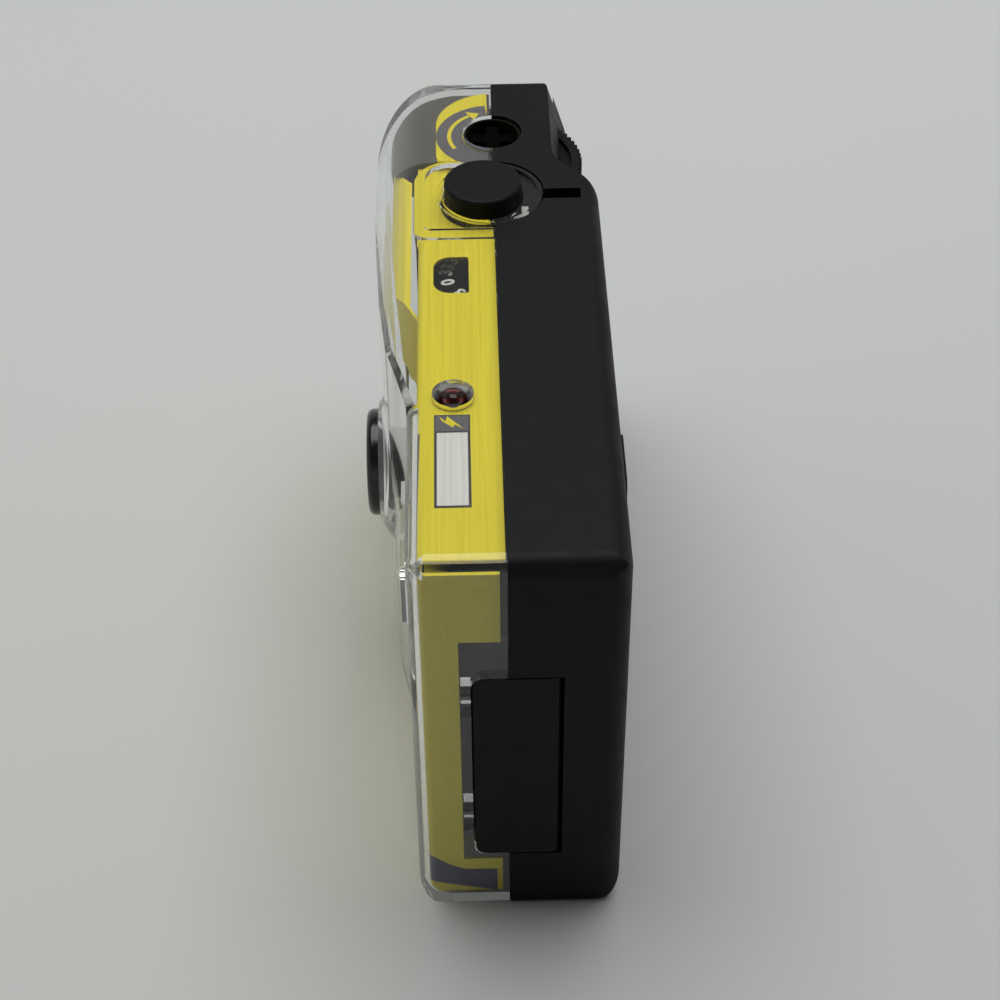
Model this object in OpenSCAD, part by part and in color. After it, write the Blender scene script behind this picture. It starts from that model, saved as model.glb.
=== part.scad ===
// Disposable 35 mm film camera with a clear front cover and built-in flash.
// Millimetres. +Z is up, the lens looks along -Y, and the origin is the centre of the base.

/* [Casing] */
// Thickness of both covers
wall = 1.4; // [1.2:0.1:1.8]
// Radius of the casing's outer edges
edge_r = 2.5; // [2.2:0.1:3.5]
// Depth of the clear front half, from its flat face to the seam
front_d = 12.6; // [12.4:0.2:18]
// How far the grip stands out of the flat front face
grip_out = 5.4; // [4:0.2:8]
// Radius of the casing's long bottom edges
base_r = 4.5; // [2.2:0.1:5]
// Radius of the casing's bottom edge at the near end
foot_r = 0.8; // [0.6:0.1:2.5]
// Radius of the casing's top edge at the far end
far_top_r = 1.6; // [1:0.1:2.5]
// Radius of the grip's outer corner, seen from above
grip_corner_r = 14.5; // [12:0.5:16]
// Radius of the grip's top edge
grip_top_r = 8.5; // [7:0.5:12]
// Radius of the grip's bottom edge
grip_base_r = 6; // [4:0.5:9]
// Depth of the finger pocket round the shutter button
pocket_drop = 0.8; // [0.5:0.1:1.1]
// Lean of the thumb recess, sideways per millimetre of height
recess_lean = 0.31; // [0.2:0.01:0.4]
// Depth of the thumb recess at the top edge
recess_d = 6.5; // [5:0.1:7.5]

/* [Film] */
// Width of the film
film_w = 35; // [30:0.5:40]
// Width of the picture gate
gate_w = 36; // [30:1:40]
// Height of the picture gate
gate_h = 24; // [20:1:27]
// Radius of the film cassette
cassette_r = 12.5; // [12:0.1:14]
// Height of the cassette shell beyond the width of the film
cassette_over = 9; // [8:0.5:12]
// Length of film between the cassette and the picture gate
film_lead = 7.3; // [7:0.1:12]
// Radius of the roll of fresh film
roll_r = 8.4; // [7:0.1:9]
// Radius of the toothed film sprocket
sprocket_r = 6.05; // [5.6:0.05:6.3]
// Number of sprocket teeth
sprocket_teeth = 8; // [6:1:10]

/* [Controls] */
// Radius of the film thumbwheel
wheel_r = 13.8; // [12:0.1:14]
// Thickness of the film thumbwheel
wheel_t = 3.6; // [3:0.1:5]
// Number of grip ridges round the thumbwheel
wheel_ridges = 72; // [40:2:90]
// Diameter of the shutter button
button_d = 11.4; // [9:0.2:12]
// Height of the shutter button above the casing
button_up = 2; // [1.9:0.1:3]
// Travel of the shutter button
button_travel = 1.8; // [1:0.1:1.8]
// Diameter of the flash button
flash_button_d = 9; // [7:0.5:10]
// Travel of the flash button
flash_travel = 1; // [0.5:0.1:1.1]
// Radius of the exposure counter dial
counter_r = 9.5; // [9:0.1:10]
// Number of teeth on the counter dial
counter_teeth = 40; // [30:2:48]
// Height of the latch flap in the end wall
flap_h = 34.8; // [28:0.2:36]
// Width of the latch flap, from its hinge to its free edge
flap_w = 10.6; // [8:0.2:10.8]

/* [Lens and windows] */
// Radius of the lens ring
ring_r = 8; // [7:0.1:9]
// How far the lens ring stands out of the flat front face
ring_out = 7; // [6.4:0.1:9]
// Radius of the clear lens cone where it leaves the flat front face
cone_r = 17.8; // [12:0.2:18]
// Radius of the taking lens
lens_r = 4.2; // [3.6:0.1:4.6]
// Width of the viewfinder
finder_w = 7; // [5:0.5:8]
// Height of the viewfinder
finder_h = 6.4; // [5:0.2:7]
// Width of the flash window
flash_w = 17.2; // [14:0.2:17.4]
// Height of the flash window
flash_h = 9.6; // [8:0.2:10]
// Radius of the flash ready lamp
lamp_r = 1.5; // [1.2:0.1:1.8]

/* [Power] */
// Diameter of the battery
battery_d = 10.5; // [10:0.1:14.5]
// Length of the battery
battery_l = 44.5; // [40:0.5:50]
// Radius of the flash capacitor
capacitor_r = 4.5; // [3.5:0.1:4.8]
// Length of the flash capacitor
capacitor_l = 28; // [20:1:32]

/* [Fits] */
// Gap between fixed pieces
seat_gap = 0.15; // [0.1:0.05:0.2]
// Gap round moving pieces
run_gap = 0.3; // [0.25:0.05:0.4]
// Radial clearance of shafts and pins
pin_gap = 0.05; // [0.03:0.01:0.08]

/* [Hidden] */
$fn = 96;

// Frame and label thicknesses
frame_t = 1.2;
deck_t = 1.2;
plate_t = 1.3;
label_t = 0.4;
blade_t = 0.4;
film_t = 0.2;
over = 1;
far_past = 20;

// Lengths along X, from the far end to the near end
end_gap = 0.8;
roll_gap = 1.2;
roll_wall = 1;
roll_margin = 2;
bay_l = 14.9;
roll_case_r = roll_r + roll_gap + roll_wall;
hub_in = wall + end_gap + cassette_r;
gate_in = hub_in + cassette_r + film_lead;
body_l = gate_in + gate_w + bay_l + 2 * roll_case_r + roll_margin + wall;
far_x = -body_l / 2;
near_x = body_l / 2;
hub_x = far_x + hub_in;
gate_x0 = far_x + gate_in;
gate_x1 = gate_x0 + gate_w;
lens_x = gate_x0 + gate_w / 2;
roll_x = near_x - wall - roll_margin - roll_case_r;
bay_x1 = roll_x - roll_case_r;
bay_x = (gate_x1 + bay_x1) / 2;

// Depths along Y, from the front to the back
cassette_back_gap = 1.5;
body_d = front_d + cassette_r + cassette_back_gap + wall;
front_y = -body_d / 2;
back_y = body_d / 2;
seam_y = front_y + front_d;
hub_y = seam_y;
grip_y = front_y - grip_out;
grip_end = 26.5;
back_in = back_y - wall;
rail_h = 2.75;
cassette_room = 0.2;
scoop_wall = 0.9;
scoop_r = cassette_r + cassette_room + scoop_wall;
film_y = back_in - rail_h - seat_gap - film_t - 0.1;
gate_t = 1.4;
gate_y = film_y - 0.2;
roll_y = film_y - run_gap - roll_r;
front_in = front_y + wall;
flange_in = 0.2;
flange_t = 0.7;
leaf_t = 0.3;
leaf_gap = 0.2;
board_t = 1.2;
board_y = front_in + flange_in + flange_t + flash_travel + leaf_gap + leaf_t;
frame_y = front_in + 1.4;

// Heights along Z, from the base to the top
battery_gap = 0.35;
battery_z = wall + battery_gap + battery_d / 2;
low_deck_z = battery_z + battery_d / 2 + battery_gap;
low_deck_top = low_deck_z + deck_t;
film_gap = 1.3;
film_z0 = low_deck_top + film_gap;
film_z1 = film_z0 + film_w;
lens_z = film_z0 + film_w / 2;
deck_z = film_z1 + film_gap;
deck_top = deck_z + deck_t;
cassette_h = film_w + cassette_over;
cassette_z0 = lens_z - cassette_h / 2;
cassette_z1 = lens_z + cassette_h / 2;
ledge_gap = 0.4;
ledge_z = cassette_z1 + ledge_gap + wall;
scoop_z = ledge_z - 11;
scoop_run = 5;
wheel_gap = 0.4;
wheel_z0 = ledge_z + wheel_gap + run_gap;
wheel_z1 = wheel_z0 + wheel_t;
wind_plate_z = wheel_z1 + 0.5;
wind_plate_top = wind_plate_z + plate_t;
label_air = 0.9;
pocket_in = wind_plate_top + label_t + label_air;
pocket_z = pocket_in + wall;
body_h = pocket_z + pocket_drop;
top_in = body_h - wall;

// Film wind
wind_post_r = 0.9;
wind_post_y = front_y + 4.8;
wind_post_gap = 0.8;
wind_post_out = 4.3;
wheel_room = 0.3;
hub_r = 3.9;
hub_hole_r = 4.5;
hub_rim_z = body_h - 0.5;
cross_across = 6.4;
cross_bar = 2;
cross_h = 2;
hub_top = body_h - 1.2;
key_w = 5;
key_t = 1.2;
key_room = 0.2;
spool_end_r = 3.35;
spool_r = 5.6;
spool_top = cassette_z1 + 1;
knob_h = 6.5;
shell_t = 0.4;
cap_t = 0.8;
lip_in = 5;
lip_out = 13.2;
lip_h = 2.6;
lip_slot = 0.7;

// Film sprocket and exposure counter
shaft_r = 1.5;
sprocket_x = gate_x0 - 0.5;
sprocket_y = film_y - 0.2 - sprocket_r;
sprocket_t = 2.2;
sprocket_z = film_z1 - 2 - sprocket_t / 2;
tooth_h = 1.1;
bush_r = 2.6;
bush_h = 3;
cam_r = 3.4;
cam_t = 1.5;
counter_x = sprocket_x + 12.5;
counter_y = hub_y - 1.6;
counter_t = 1;
counter_z = wheel_z1 + 0.2;
counter_tooth_h = 0.7;
driver_z = wheel_z1 + run_gap;
driver_t = 0.8;
driver_r = norm([counter_x - sprocket_x, counter_y - sprocket_y]) - counter_r - 0.2;
post_r = 1.2;
shoulder_r = 2.2;

// Shutter button, its collar and its spring
button_r = button_d / 2;
stem_r = 1.2;
spring_wire_r = 0.25;
spring_r = stem_r + run_gap + spring_wire_r;
spring_turns = 6;
guide_r = 3.1;
guide_z = wheel_z0 - run_gap - 0.1;
button_x = hub_x + wheel_r + spring_r + spring_wire_r + run_gap;
button_y = hub_y - 1.7;
button_z = pocket_in + 0.1;
button_edge_r = 0.5;
stem_z = deck_top + button_travel + 0.5;
collar_r = button_r + run_gap + 1.8;
collar_y = button_y + 1;
pocket_x0 = button_x - 7.7;
pocket_x1 = button_x + 9;
pocket_y0 = collar_y - collar_r - 1.8;
pocket_corner_r = 4;
collar_rim = 0.6;

// Levers on the deck
lever_t = 1.4;
lever_pin_r = 1;
energy_x = lens_x + 4.5;
energy_y = frame_y + 7.2;
energy_arm = 8.4;
energy_z = deck_top + run_gap;
torsion_wire_r = 0.3;
torsion_r = 1.9;
meter_x = sprocket_x + 7;
meter_y = sprocket_y + 4.8;
meter_z = deck_top + bush_h + 0.5;
meter_arm = 4;

// Lens and shutter
cone_y = front_y - ring_out + 1.8;
cone_tip_r = ring_r + 0.9;
ring_y = front_y - ring_out;
cup_y = front_y - 3;
cup_t = 0.9;
holder_r = 10;
holder_y = frame_y - 2;
holder_t = 1.2;
aperture_r = 1.6;
blade_y = frame_y - 0.25 - blade_t;
blade_pin_x = lens_x + 5.2;
blade_pin_z = lens_z + 3;
blade_pin_r = 0.7;
tunnel_front_w = 14;
tunnel_front_h = 10;

// Viewfinder, flash and lamp
flash_in = 3.2;
flash_up = 0.2;
flash_x = near_x - flash_in - flash_w / 2;
flash_z = deck_top + flash_up + flash_h / 2;
flash_out = 0.6;
flash_flange = 0.8;
flash_y = front_in + 1;
finder_wall = 1;
finder_x = flash_x - flash_w / 2 - flash_flange - run_gap - finder_wall - finder_w / 2;
finder_lens_t = 1.8;
finder_z = deck_top + seat_gap;
eyepiece_out = 0.6;
eyepiece_rim = 2;
reflector_t = 0.5;
reflector_r = flash_h / 2;
tube_r = 1.1;
lamp_x = finder_x - finder_w / 2 - finder_wall - 2.5;
lamp_y = front_y + 6.2;
lamp_flange = 0.4;
lamp_foot = 0.9;
lamp_body = 3.6;
lamp_top = body_h - 0.1;
bezel_r = lamp_r + 1.15;
bezel_top = body_h - 0.5;
bezel_cup = 1.3;
lead_r = 0.25;

// Flash circuit
flash_button_x = bay_x + 5;
flash_button_z = low_deck_top + 12;
flash_button_out = 0.9;
button_flange = 0.9;
board_over = 2.5;
board_gap = 0.2;
capacitor_y = board_y + board_t + run_gap + capacitor_r;
part_gap = 0.3;
transformer_w = 5.6;
transformer_h = 8;
coil_r = 2.3;
coil_h = 8;
side_x = gate_x1 - 3.8;
leaf_w = 5;
leaf_h = 12;
battery_x = bay_x + 1;
battery_y = front_y + 8.5;
contact_t = 0.6;

// Latch flap, snap hooks and tongues
flap_z0 = lens_z - 4 - flap_h / 2;
hinge_x = near_x - 0.9;
hinge_r = 0.8;
hinge_y = seam_y + 6;
hinge_room = 0.35;
flap_pin_r = 0.5;
flap_pin_l = 1.2;
flap_room = 0.25;
flap_corner_r = 1.6;
flap_hinge_r = 0.2;
hook_w = 1.3;
hook_h = 5.8;
tongue_in = 8.5;
tongue_w = 8;
tongue_l = 3;
tongue_t = 0.9;

// Label cut-outs
label_gap = 0.12;
label_x0 = pocket_x1 + wall + seat_gap;
label_grip_gap = 1.1;
label_grip_end = 8;
label_top_z = top_in - 1.2 - label_grip_gap;
label_slant = 7.8;
label_base_z = wall + label_gap + label_t + 0.1;
label_seam = 0.95;
label_corner = 2.6;
shoulder_t = 1.6;
pad_x1 = pocket_x0 - wall - run_gap;
pad_front_y = front_y + 3.6;
pad_label_z = top_in - seat_gap - label_t;
pocket_label_y = front_y + 1.3;
label_far_x = far_x + grip_corner_r;
slant_x = pad_x1 + 2.4;
counter_window_x = [counter_x - 0.7, counter_x + 7.7];
counter_window_y = [front_y + 3.6, front_y + 8.6];
notch_front = 1.7;
notch_up = 6;
notch_down = 2.2;

// Radius of an edge that lies a distance t inside the casing
function inner_r(r, t) = max(r - t, 0.3);

// Points of an arc round a centre
function arc(centre, r, a0, a1, steps) =
    [for (i = [0:steps]) centre + r * [cos(a0 + (a1 - a0) * i / steps), sin(a0 + (a1 - a0) * i / steps)]];

// Points of an S-shaped edge between two parallel lines
function ess(from, to, steps) =
    [for (i = [0:steps]) [from.x + (to.x - from.x) * i / steps,
                          from.y + (to.y - from.y) * (1 - cos(180 * i / steps)) / 2]];

// Points of a toothed wheel's outline
function toothed(r, h, n) =
    [for (i = [0:4 * n - 1]) (i % 4 < 2 ? r : r - h) * [cos(90 * (i + 0.5) / n), sin(90 * (i + 0.5) / n)]];

// Extrudes a plan along Z
module along_z(z0, z1) {
    translate([0, 0, z0]) linear_extrude(z1 - z0) children();
}

// Extrudes an XZ outline along Y
module along_y(y0, y1) {
    translate([0, y1, 0]) rotate([90, 0, 0]) linear_extrude(y1 - y0) children();
}

// Extrudes a YZ outline along X
module along_x(x0, x1) {
    translate([x0, 0, 0]) rotate([90, 0, 90]) linear_extrude(x1 - x0) children();
}

// Box between two corners
module block(low, high) {
    translate(low) cube(high - low);
}

// Upright cylinder between two heights
module post(x, y, r, z0, z1) {
    translate([x, y, z0]) cylinder(r = r, h = z1 - z0);
}

// Cylinder along Y at a place on the front
module barrel(x, z, r, y0, y1) {
    translate([x, y1, z]) rotate([90, 0, 0]) cylinder(r = r, h = y1 - y0);
}

// What a rounded corner takes off a square one
module corner_waste(corner, way, r) {
    difference() {
        translate(corner + way * r / 2 - [r, r] / 2) square(r);
        translate(corner + way * r) circle(r);
    }
}

// Rectangle with its own radius at each corner: low-low, high-low, high-high, low-high
module rounded(low, high, radii) {
    difference() {
        translate(low) square(high - low);
        corner_waste(low, [1, 1], radii[0]);
        corner_waste([high.x, low.y], [-1, 1], radii[1]);
        corner_waste(high, [-1, -1], radii[2]);
        corner_waste([low.x, high.y], [1, -1], radii[3]);
    }
}

// Rectangle with one radius
module even_rounded(low, high, r) {
    rounded(low, high, [r, r, r, r]);
}

// Helical wire spring round the Z axis, as one closed tube
module wire_spring(r, wire_r, turns, z0, z1) {
    sides = 6;
    per_turn = 8;
    rings = turns * per_turn;
    points = [for (i = [0:rings]) for (j = [0:sides - 1])
        let (a = 360 * i / per_turn, b = 360 * j / sides, out = r + wire_r * cos(b))
        [out * cos(a), out * sin(a), z0 + (z1 - z0) * i / rings + wire_r * sin(b)]];
    walls = [for (i = [0:rings - 1]) for (j = [0:sides - 1])
        let (k = (j + 1) % sides, low = i * sides, high = (i + 1) * sides)
        each [[low + j, high + j, high + k], [low + j, high + k, low + k]]];
    first = [for (j = [1:sides - 2]) [0, j, j + 1]];
    end = rings * sides;
    last = [for (j = [1:sides - 2]) [end, end + j + 1, end + j]];
    polyhedron(points, concat(walls, first, last));
}

// Closed block of the rear half of the casing, a distance t inside its outer faces
module rear_solid(t) {
    r = inner_r(edge_r, t);
    y0 = seam_y - far_past;
    intersection() {
        along_z(t, body_h - t) even_rounded([far_x + t, y0], [near_x - t, back_y - t], r);
        along_x(far_x + t, near_x - t) rounded([y0, t], [back_y - t, body_h - t],
                                               [r, inner_r(base_r, t), r, r]);
        along_y(y0, back_y) rounded([far_x + t, t], [near_x - t, body_h - t],
                                    [r, inner_r(foot_r, t), r, inner_r(far_top_r, t)]);
    }
}

// Thumb recess at the far top corner of the back, grown by g
module thumb_recess(g) {
    reach = g * norm([1, recess_lean]);
    top_y = back_y - recess_d;
    ledge_y = top_y + recess_lean * (body_h - ledge_z);
    round_r = scoop_r - min(g, scoop_wall);
    ess_x0 = hub_x + wheel_r - 8.6;
    ess_x1 = ess_x0 + 11.5;
    intersection() {
        union() {
            along_x(far_x - over, ess_x1 + g) polygon([
                [top_y - recess_lean * over - reach, body_h + over],
                [ledge_y - reach, ledge_z - g],
                [hub_y + round_r, ledge_z - g],
                [hub_y + round_r, scoop_z - g],
                [back_y + over, scoop_z - scoop_run - g],
                [back_y + over, body_h + over]]);
            difference() {
                block([far_x - over, ledge_y - reach, scoop_z - g], [hub_x, back_y + over, body_h]);
                post(hub_x, hub_y, round_r, 0, body_h + far_past);
            }
        }
        along_z(0, body_h + over) polygon(concat(
            [[far_x - over, back_y + over], [far_x - over, top_y - reach - over],
             [ess_x0 + g, top_y - reach - over]],
            ess([ess_x0 + g, top_y - reach], [ess_x1 + g, back_y], 16),
            [[ess_x1 + g, back_y + over]]));
    }
    difference() {
        block([far_x - over, top_y - edge_r, ledge_z - g], [far_x + edge_r, top_y + over, body_h + over]);
        post(far_x + edge_r, top_y - edge_r, edge_r - g, 0, body_h + far_past);
    }
}

// Room that the turning thumbwheel needs inside the casing
module wheel_space() {
    post(hub_x, hub_y, wheel_r + wheel_room, wheel_z0 - wheel_gap, wheel_z1 + wheel_gap);
}

// Opening that the latch flap closes, in both covers
module flap_opening() {
    z0 = flap_z0 - flap_room;
    z1 = flap_z0 + flap_h + flap_room;
    y0 = hinge_y - flap_w - flap_room;
    y1 = hinge_y + hinge_r + hinge_room;
    r = flap_corner_r + flap_room;
    along_x(near_x - wall - 2 * over, near_x + over)
        rounded([y0, z0], [y1, z1], [r, flap_hinge_r, flap_hinge_r, r]);
}

// Bosses inside the end wall that carry the flap's two pins
module flap_bosses() {
    for (side = [-1, 1]) {
        z = side < 0 ? flap_z0 - flap_room - 2.4 : flap_z0 + flap_h + flap_room;
        block([near_x - wall - 0.9, hinge_y - 1.5, z], [near_x - wall + 0.2, hinge_y + 1.5, z + 2.4]);
    }
}

module rear_cover() {
    color([0.09, 0.095, 0.1]) difference() {
        union() {
            difference() {
                intersection() {
                    rear_solid(0);
                    block([far_x, seam_y, 0], [near_x, back_y, body_h]);
                }
                thumb_recess(0);
                difference() {
                    rear_solid(wall);
                    thumb_recess(wall);
                }
            }
            eyepiece_frame();
            film_rails();
            flap_bosses();
            snap_tongues();
        }
        wheel_space();
        flap_opening();
        post(hinge_x, hinge_y, flap_pin_r + pin_gap, flap_z0 - flap_room - flap_pin_l - 0.2,
             flap_z0 + flap_h + flap_room + flap_pin_l + 0.2);
        post(hub_x, hub_y, hub_hole_r, top_in - over, body_h + over);
        post(button_x, collar_y, collar_r + run_gap, top_in - over, body_h + over);
        block([button_x - 0.6, back_y - 8.3, top_in - over], [button_x + 1.9, back_y - 2.7, body_h + over]);
        along_y(back_in - over, back_y + 2 * over) even_rounded(
            [finder_x - finder_w / 2 + 0.8, finder_z + 0.8],
            [finder_x + finder_w / 2 - 0.8, finder_z + finder_h - 0.8], 0.8);
    }
}

// Raised frame round the viewfinder eyepiece
module eyepiece_frame() {
    along_y(back_y - 0.2, back_y + eyepiece_out) even_rounded(
        [finder_x - finder_w / 2 - eyepiece_rim, finder_z - 0.6],
        [finder_x + finder_w / 2 + eyepiece_rim, finder_z + finder_h + 1.4], 2);
}

// Two rails inside the back that keep the film flat
module film_rails() {
    for (z = [film_z0 + 1, film_z1 - 2.2])
        block([gate_x0 - 3, back_in - rail_h, z], [bay_x1, back_in + 0.2, z + 1.2]);
}

// Tongues that reach under the clear cover's floor along the seam
module snap_tongues() {
    z0 = wall + seat_gap;
    z1 = z0 + tongue_t;
    for (x = [hub_x + tongue_in, lens_x - tongue_in]) {
        block([x - tongue_w / 2, seam_y - tongue_l, z0], [x + tongue_w / 2, seam_y + over, z1]);
        block([x - tongue_w / 2, seam_y, wall - 0.2], [x + tongue_w / 2, seam_y + tongue_l, z1]);
    }
}

// Flat part of the clear half from x0 on, a distance t inside its outer faces
module flat_front(t, x0) {
    r = inner_r(edge_r, t);
    y1 = seam_y + far_past;
    intersection() {
        along_z(t, body_h - t) even_rounded([x0, front_y + t], [near_x - t, y1], r);
        along_x(x0, near_x - t) rounded([front_y + t, t], [y1, body_h - t],
                                        [inner_r(base_r, t), r, r, r]);
        along_y(front_y + t, y1) rounded([x0, t], [near_x - t, body_h - t],
                                         [r, inner_r(foot_r, t), r, r]);
    }
}

// Bends in plan of the clear half's taper from the grip to the flat front, a distance t inside
function cover_taper(t) = [
    [hub_x + 13.3, grip_y + t], [lens_x - 0.5, grip_y + 0.22 * grip_out + t],
    [lens_x + 11.8, grip_y + 0.43 * grip_out + t], [lens_x + grip_end, front_y + t]];

// Bends in plan of the label's shorter taper above the lens
function label_taper(t) = [
    [hub_x + 13.3, grip_y + t], [lens_x - 2, grip_y + 0.22 * grip_out + t],
    [lens_x + label_grip_end, front_y + t]];

// Grip bulge with a taper in plan, a distance t inside the outer faces of the clear half
module grip_front(t, taper) {
    r = inner_r(edge_r, t);
    y1 = seam_y + far_past;
    end_x = taper[len(taper) - 1][0];
    top_r = inner_r(grip_top_r, t);
    base_r = inner_r(grip_base_r, t);
    corner = [far_x + grip_corner_r, grip_y + grip_corner_r];
    intersection() {
        along_z(t, body_h - t) polygon(concat(
            [[far_x + t, y1]],
            arc(corner, inner_r(grip_corner_r, t), 180, 270, 12),
            taper, [[end_x, y1]]));
        along_x(far_x, end_x) rounded([grip_y + t, t], [y1, body_h - t], [base_r, r, r, top_r]);
        along_y(grip_y, y1) rounded([far_x + t, t], [end_x + far_past, body_h - t],
                                    [r, r, r, inner_r(far_top_r, t)]);
    }
}

// Closed block of the clear half, a distance t inside its outer faces
module front_solid(t) {
    flat_front(t, button_x + 12 + t);
    grip_front(t, cover_taper(t));
}

// Block inside the label, a distance t inside the flat front and a little more inside the grip
module label_solid(t) {
    g = t + label_grip_gap;
    flat_front(t, label_x0 - 2 + t);
    grip_front(g, label_taper(g));
    intersection() {
        grip_front(g, cover_taper(g));
        block([far_x, grip_y, 0], [near_x, seam_y, lens_z]);
    }
}

// Cone that leads from the clear front to the lens ring, a distance t inside
module lens_cone(t) {
    translate([lens_x, front_y + over, lens_z]) rotate([90, 0, 0])
        cylinder(r1 = cone_r + 1.2 - t, r2 = cone_tip_r - t, h = front_y + over - cone_y - t);
}

// Finger pocket round the shutter button, grown by g
module finger_pocket(g) {
    along_z(pocket_z - g, body_h + over) rounded(
        [pocket_x0 - g, pocket_y0 - g], [pocket_x1 + g, seam_y + far_past],
        [pocket_corner_r + g, 1 + g, 1, 1]);
}

// Ring that stands up round the shutter button and laps over the seam
module button_collar() {
    difference() {
        post(button_x, collar_y, collar_r, pocket_in, body_h - seat_gap);
        post(button_x, collar_y, collar_r - collar_rim, pocket_z, body_h);
    }
}

// Snap hooks of the clear cover that the latch flap hides
module snap_hooks() {
    for (z = [flap_z0 + flap_h * 0.12, flap_z0 + flap_h * 0.78])
        difference() {
            block([near_x - wall - 1.6, hinge_y - flap_w - flap_room - hook_w, z],
                  [near_x - wall + 0.2, hinge_y - flap_w - flap_room, z + hook_h]);
            block([near_x - wall - 1.1, hinge_y - flap_w - flap_room - 2 * hook_w, z + 2],
                  [near_x - wall - 0.1, hinge_y, z + hook_h - 2]);
        }
}

module front_cover() {
    color([0.85, 0.9, 0.92, 0.35]) difference() {
        union() {
            difference() {
                intersection() {
                    union() {
                        front_solid(0);
                        lens_cone(0);
                    }
                    block([far_x, ring_y, 0], [near_x, seam_y - 0.05, body_h]);
                }
                finger_pocket(0);
                difference() {
                    front_solid(wall);
                    finger_pocket(wall);
                }
                lens_cone(wall);
            }
            button_collar();
            snap_hooks();
        }
        wheel_space();
        flap_opening();
        post(hub_x, hub_y, hub_hole_r, top_in - over, body_h + over);
        post(button_x, button_y, button_r + run_gap, pocket_in - over, body_h + over);
        post(lamp_x, lamp_y, bezel_r + seat_gap, top_in - over, body_h + over);
        barrel(lens_x, lens_z, ring_r + seat_gap, ring_y - over, front_y);
        barrel(flash_button_x, flash_button_z, flash_button_d / 2 + run_gap, grip_y, front_in + over);
        flash_pane(seat_gap, front_y - over, front_in + over);
    }
}

// Outline of the flash window, grown by g, between two depths
module flash_pane(g, y0, y1) {
    along_y(y0, y1) even_rounded(
        [flash_x - flash_w / 2 - g, flash_z - flash_h / 2 - g],
        [flash_x + flash_w / 2 + g, flash_z + flash_h / 2 + g], 1 + g);
}

// Window in the label over the counter dial, straight at the back and round at the front
module counter_window() {
    along_z(top_in - 2, body_h) rounded(
        [counter_window_x[0], counter_window_y[0]], [counter_window_x[1], counter_window_y[1]],
        [2.4, 2.4, 0.4, 0.4]);
}

// Height of the label's slanted far edge at x
function slant_z(x) = label_top_z - label_slant * (slant_x - x) / (slant_x - far_x);

module label_card() {
    t0 = wall + label_gap;
    t1 = t0 + label_t;
    color([0.83, 0.74, 0.13]) difference() {
        intersection() {
            label_solid(t0);
            block([label_far_x, grip_y, label_base_z], [near_x, seam_y - 0.2, body_h]);
        }
        label_solid(t1);
        block([far_x, grip_y, label_top_z], [label_x0, seam_y, body_h]);
        block([far_x, grip_y, 0], [label_x0 + 1, seam_y, label_base_z + label_grip_gap]);
        along_y(grip_y, front_y + wall) polygon([
            [far_x, slant_z(far_x)], [slant_x, label_top_z], [slant_x, body_h], [far_x, body_h]]);
        block([far_x, grip_y, label_top_z], [lens_x + grip_end, front_y + t0, body_h]);
        block([near_x - wall - over, seam_y - label_seam, 0], [near_x, seam_y, body_h - edge_r]);
        block([near_x - label_corner, grip_y, body_h - label_corner], [near_x, seam_y, body_h]);
        block([near_x - wall - over, hinge_y - flap_w - notch_front, flap_z0 - notch_down],
              [near_x, seam_y, flap_z0 + flap_h + notch_up]);
        barrel(lens_x, lens_z, cone_r - 0.6, grip_y, front_in + 2);
        flash_pane(flash_flange + seat_gap + 0.2, front_y, front_in + 2);
        barrel(flash_button_x, flash_button_z, flash_button_d / 2 + button_flange + run_gap, grip_y,
               front_in + 2);
        along_y(grip_y, front_in + 2) even_rounded(
            [finder_x - finder_w / 2, finder_z], [finder_x + finder_w / 2, finder_z + finder_h], 0.8);
        counter_window();
        post(lamp_x, lamp_y, bezel_r + seat_gap, top_in - 2, body_h);
    }
}

// Plan of the raised pad round the winding hub, inset by t
module pad_plan(t) {
    rounded([far_x + wall + 0.8 + t, pad_front_y + t], [pad_x1 - label_t - t, seam_y - run_gap - t],
            [9, 0.4, 0.4, 0.4]);
}

// Plan of the card under the finger pocket, from an edge at x0
module pocket_plan(x0) {
    difference() {
        even_rounded([x0, pocket_label_y], [pocket_x1 + wall, seam_y - run_gap], 0.4);
        translate([button_x, button_y]) circle(button_r + 2 * run_gap);
    }
}

module wind_label() {
    z0 = wind_plate_top;
    z1 = pad_label_z + label_t;
    color([0.83, 0.74, 0.13]) {
        difference() {
            along_z(pad_label_z, z1) pad_plan(0.4);
            post(hub_x, hub_y, hub_hole_r, z0, body_h);
        }
        block([pad_x1 - label_t - 0.5, pad_front_y + 0.6, pad_label_z], [pad_x1, seam_y - over, z1]);
        block([pad_x1 - label_t, pad_front_y + 0.6, z0], [pad_x1, seam_y - over, z1]);
        along_z(z0, z0 + label_t) pocket_plan(pad_x1 - label_t);
    }
}

// Dark shoulder that fills the clear grip round the pad
module grip_shoulder() {
    t = wall + label_gap + label_t + seat_gap;
    difference() {
        intersection() {
            front_solid(t);
            block([far_x, grip_y, cassette_z1 + run_gap], [pad_x1 - label_t, seam_y - run_gap, body_h]);
        }
        front_solid(t + shoulder_t);
        along_z(wind_plate_z, body_h) pad_plan(0);
        along_y(grip_y, front_y + wall) polygon([
            [label_far_x - seat_gap, 0], [label_far_x - seat_gap, slant_z(label_far_x) + seat_gap],
            [pad_x1, slant_z(pad_x1) + seat_gap], [pad_x1, 0]]);
    }
}

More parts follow.
